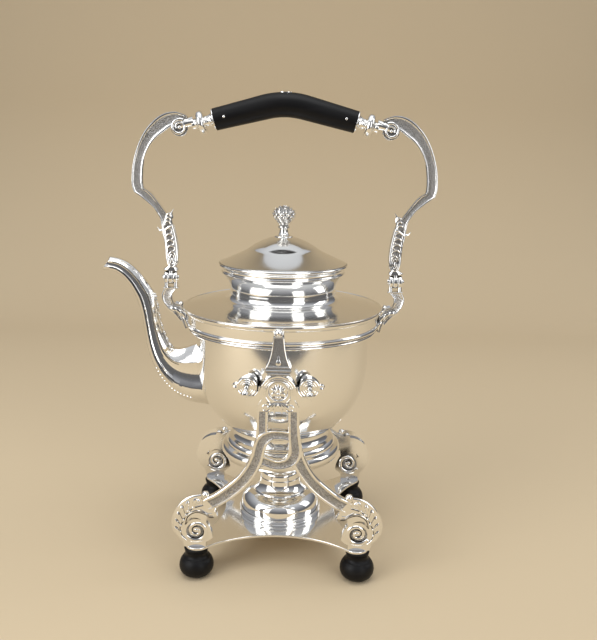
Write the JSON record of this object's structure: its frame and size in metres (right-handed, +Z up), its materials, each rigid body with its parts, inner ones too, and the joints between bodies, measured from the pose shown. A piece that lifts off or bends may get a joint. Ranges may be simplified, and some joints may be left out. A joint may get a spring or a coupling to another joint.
{
  "type": "samovar",
  "caption": "Tilting tea kettle on a scrolled stand with a spirit lamp, swing handle with a dark grip, lift-off lid, curved spout and ball feet.",
  "frame": {"origin": "on the floor under the middle of the object's bounding box", "axes": "+Z up, +Y to the back, -Y to the side the picture was taken from, -X towards the spout"},
  "size_m": [0.3092, 0.226, 0.4301],
  "materials": {
    "polished_silver": "mirror polish with darkened recesses",
    "ebonised_wood": "satin black stain",
    "wick_cotton": "matt"
  },
  "bodies": {
    "stand": {"base_plate": "polished_silver", "foot_collars": "polished_silver", "foot_studs": "polished_silver", "frame_back": "polished_silver", "frame_front": "polished_silver", "lamp_holder": "polished_silver", "rosette_back": "polished_silver", "rosette_front": "polished_silver", "wooden_feet": "ebonised_wood"},
    "kettle": {"kettle_bowl": "polished_silver", "kettle_foot": "polished_silver", "kettle_shoulder": "polished_silver", "rim_band": "polished_silver", "spout": "polished_silver", "kettle_lugs_front": "polished_silver", "kettle_lugs_back": "polished_silver", "handle_ear_left": "polished_silver", "handle_ear_right": "polished_silver", "hinge_pin_left": "polished_silver", "hinge_pin_right": "polished_silver"},
    "handle": {"arm_left": "polished_silver", "arm_right": "polished_silver", "ferrule_left": "polished_silver", "ferrule_right": "polished_silver", "grip": "ebonised_wood", "grip_plate": "polished_silver", "grip_rivets": "polished_silver"},
    "lid": {"lid_dome": "polished_silver", "lid_rim": "polished_silver", "finial_stem": "polished_silver", "finial_bud": "polished_silver", "finial_nut": "polished_silver"},
    "lamp": {"lamp_reservoir": "polished_silver", "burner_head": "polished_silver", "wick": "wick_cotton"},
    "snuffer": {"snuffer_cap": "polished_silver"},
    "pin_front_left": {"pin_front_left": "polished_silver"},
    "pin_front_right": {"pin_front_right": "polished_silver"},
    "pin_back_left": {"pin_back_left": "polished_silver"},
    "pin_back_right": {"pin_back_right": "polished_silver"}
  },
  "joints": [
    {"name": "kettle_tilt", "type": "hinge", "parent": "stand", "child": "kettle", "pos_m": [-0.0107, 0, 0.185], "axis": [0, -1, 0], "range_deg": [0, 55]},
    {"name": "handle_swing", "type": "hinge", "parent": "kettle", "child": "handle", "pos_m": [0.0158, 0, 0.2616], "axis": [1, 0, 0], "range_deg": [-85, 85]},
    {"name": "lid_lift", "type": "slide", "parent": "kettle", "child": "lid", "axis": [0, 0, 1], "range_m": [0, 0.06]},
    {"name": "pin_front_left_pull", "type": "slide", "parent": "stand", "child": "pin_front_left", "axis": [0, -1, 0], "range_m": [0, 0.02]},
    {"name": "pin_front_right_pull", "type": "slide", "parent": "stand", "child": "pin_front_right", "axis": [0, -1, 0], "range_m": [0, 0.02]},
    {"name": "pin_back_left_pull", "type": "slide", "parent": "stand", "child": "pin_back_left", "axis": [0, 1, 0], "range_m": [0, 0.02]},
    {"name": "pin_back_right_pull", "type": "slide", "parent": "stand", "child": "pin_back_right", "axis": [0, 1, 0], "range_m": [0, 0.02]},
    {"name": "lamp_lift", "type": "slide", "parent": "stand", "child": "lamp", "axis": [0, 0, 1], "range_m": [0, 0.01]},
    {"name": "cap_lift", "type": "slide", "parent": "lamp", "child": "snuffer", "axis": [0, 0, 1], "range_m": [0, 0.012]}
  ]
}
